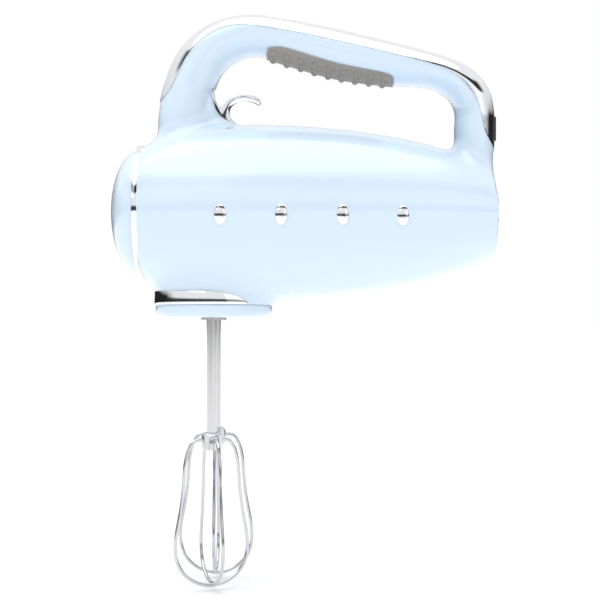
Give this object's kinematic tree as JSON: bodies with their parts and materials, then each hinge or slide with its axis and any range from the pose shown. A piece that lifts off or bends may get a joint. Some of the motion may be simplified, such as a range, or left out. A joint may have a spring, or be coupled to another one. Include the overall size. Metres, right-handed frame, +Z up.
{
  "type": "hand mixer",
  "caption": "Hand mixer with an egg-shaped motor body, closed loop handle with a trim strip and soft grip, speed slider, eject trigger and two wire beaters.",
  "frame": {"origin": "middle of the hand grip, on the left-right plane of symmetry of the handle", "axes": "+Z up with the beaters hanging down, +X towards the heel (rear), -X towards the nose, +Y towards the user's right"},
  "size_m": [0.2166, 0.0942, 0.2991],
  "materials": {
    "housing_left": "pastel light blue high gloss enamelled shell",
    "housing_right": "pastel light blue high gloss enamelled shell",
    "nose_cap": "pastel light blue high gloss enamelled shell",
    "nose_ring": "bright plated trim",
    "handle_trim": "bright plated trim",
    "grip_pad": "warm grey soft grip",
    "hub_band": "bright plated trim",
    "hub_base": "pastel light blue high gloss enamelled shell",
    "lower_bushes": "sintered bronze bush",
    "cord_gland": "grey soft foot",
    "heel_feet": "grey soft foot",
    "left_studs": "bright plated trim",
    "right_studs": "bright plated trim",
    "housing_screws": "turned or pressed steel",
    "switch_bezel": "dark switch plastic",
    "indicator_lens": "clear indicator lens",
    "rocker_frame": "dark switch plastic",
    "rocker_switch": "dark switch plastic",
    "gearbox_frame": "die-cast frame",
    "gearbox_cover": "die-cast frame",
    "upper_bushes": "sintered bronze bush",
    "gearbox_screws": "turned or pressed steel",
    "motor_frame_front": "die-cast frame",
    "motor_frame_rear": "die-cast frame",
    "front_bearing": "sintered bronze bush",
    "rear_bearing": "sintered bronze bush",
    "stator_stack": "turned or pressed steel",
    "field_coils": "enamelled copper wire",
    "motor_screws": "turned or pressed steel",
    "brush_holders": "dark switch plastic",
    "carbon_brushes": "carbon block",
    "brush_springs": "turned or pressed steel",
    "control_board": "green laminate board",
    "trigger_pin": "turned or pressed steel",
    "trigger_spring": "turned or pressed steel",
    "ejector_springs": "turned or pressed steel",
    "armature_shaft": "turned or pressed steel",
    "armature_core": "turned or pressed steel",
    "armature_windings": "enamelled copper wire",
    "commutator": "enamelled copper wire",
    "cooling_fan": "natural nylon",
    "worm": "turned or pressed steel",
    "left_drive_gear": "natural nylon",
    "left_spindle": "turned or pressed steel",
    "right_drive_gear": "natural nylon",
    "right_spindle": "turned or pressed steel",
    "left_beater_shaft": "turned or pressed steel",
    "left_beater_collar": "polished steel collar",
    "left_beater_wires": "turned or pressed steel",
    "right_beater_shaft": "turned or pressed steel",
    "right_beater_collar": "polished steel collar",
    "right_beater_wires": "turned or pressed steel",
    "eject_trigger": "bright plated trim",
    "ejector_slide": "natural nylon",
    "left_pusher": "turned or pressed steel",
    "right_pusher": "turned or pressed steel",
    "speed_slider": "bright plated trim",
    "power_rocker": "dark switch plastic"
  },
  "bodies": {
    "mixer_body": {"housing_left": "housing_left", "housing_right": "housing_right", "nose_cap": "nose_cap", "nose_ring": "nose_ring", "handle_trim": "handle_trim", "grip_pad": "grip_pad", "hub_band": "hub_band", "hub_base": "hub_base", "lower_bushes": "lower_bushes", "cord_gland": "cord_gland", "heel_feet": "heel_feet", "left_studs": "left_studs", "right_studs": "right_studs", "housing_screws": "housing_screws", "switch_bezel": "switch_bezel", "indicator_lens": "indicator_lens", "rocker_frame": "rocker_frame", "rocker_switch": "rocker_switch", "gearbox_frame": "gearbox_frame", "gearbox_cover": "gearbox_cover", "upper_bushes": "upper_bushes", "gearbox_screws": "gearbox_screws", "motor_frame_front": "motor_frame_front", "motor_frame_rear": "motor_frame_rear", "front_bearing": "front_bearing", "rear_bearing": "rear_bearing", "stator_stack": "stator_stack", "field_coils": "field_coils", "motor_screws": "motor_screws", "brush_holders": "brush_holders", "carbon_brushes": "carbon_brushes", "brush_springs": "brush_springs", "control_board": "control_board", "trigger_pin": "trigger_pin", "trigger_spring": "trigger_spring", "ejector_springs": "ejector_springs"},
    "armature": {"armature_shaft": "armature_shaft", "armature_core": "armature_core", "armature_windings": "armature_windings", "commutator": "commutator", "cooling_fan": "cooling_fan", "worm": "worm"},
    "left_drive": {"left_drive_gear": "left_drive_gear", "left_spindle": "left_spindle"},
    "right_drive": {"right_drive_gear": "right_drive_gear", "right_spindle": "right_spindle"},
    "left_beater": {"left_beater_shaft": "left_beater_shaft", "left_beater_collar": "left_beater_collar", "left_beater_wires": "left_beater_wires"},
    "right_beater": {"right_beater_shaft": "right_beater_shaft", "right_beater_collar": "right_beater_collar", "right_beater_wires": "right_beater_wires"},
    "trigger": {"eject_trigger": "eject_trigger"},
    "ejector": {"ejector_slide": "ejector_slide", "left_pusher": "left_pusher", "right_pusher": "right_pusher"},
    "slider": {"speed_slider": "speed_slider"},
    "rocker": {"power_rocker": "power_rocker"}
  },
  "joints": [
    {"name": "armature_spin", "type": "hinge", "parent": "mixer_body", "child": "armature", "pos_m": [0, 0, -0.085], "axis": [1, 0, 0], "continuous": true},
    {"name": "left_spindle_spin", "type": "hinge", "parent": "mixer_body", "child": "left_drive", "pos_m": [-0.0647, -0.0174, -0.085], "axis": [0, 0, 1], "continuous": true},
    {"name": "right_spindle_spin", "type": "hinge", "parent": "mixer_body", "child": "right_drive", "pos_m": [-0.0647, 0.0174, -0.085], "axis": [0, 0, 1], "continuous": true},
    {"name": "trigger_pull", "type": "hinge", "parent": "mixer_body", "child": "trigger", "pos_m": [-0.078, 0, -0.038], "axis": [0, 1, 0], "range_deg": [0, 10], "stiffness_Nm_per_rad": 0.6, "springref_deg": -5.73},
    {"name": "ejector_travel", "type": "slide", "parent": "mixer_body", "child": "ejector", "axis": [0, 0, -1], "range_m": [0, 0.0031], "stiffness_N_per_m": 2, "springref_m": -0.058, "deforming": ["ejector_springs"]},
    {"name": "left_beater_pull", "type": "slide", "parent": "left_drive", "child": "left_beater", "axis": [0, 0, -1], "range_m": [0, 0.06]},
    {"name": "right_beater_pull", "type": "slide", "parent": "right_drive", "child": "right_beater", "axis": [0, 0, -1], "range_m": [0, 0.06]},
    {"name": "speed_slide", "type": "slide", "parent": "mixer_body", "child": "slider", "axis": [0.9877, 0, -0.1564], "range_m": [-0.003, 0.003]},
    {"name": "power_rock", "type": "hinge", "parent": "mixer_body", "child": "rocker", "pos_m": [0.08, 0, -0.041], "axis": [0, 1, 0], "range_deg": [-6, 6]}
  ],
  "couplings": [
    {"joint": "left_spindle_spin", "follows": "armature_spin", "ratio": 0.083333},
    {"joint": "right_spindle_spin", "follows": "armature_spin", "ratio": -0.083333},
    {"joint": "ejector_travel", "follows": "trigger_pull", "m_per_rad": 0.0172}
  ]
}
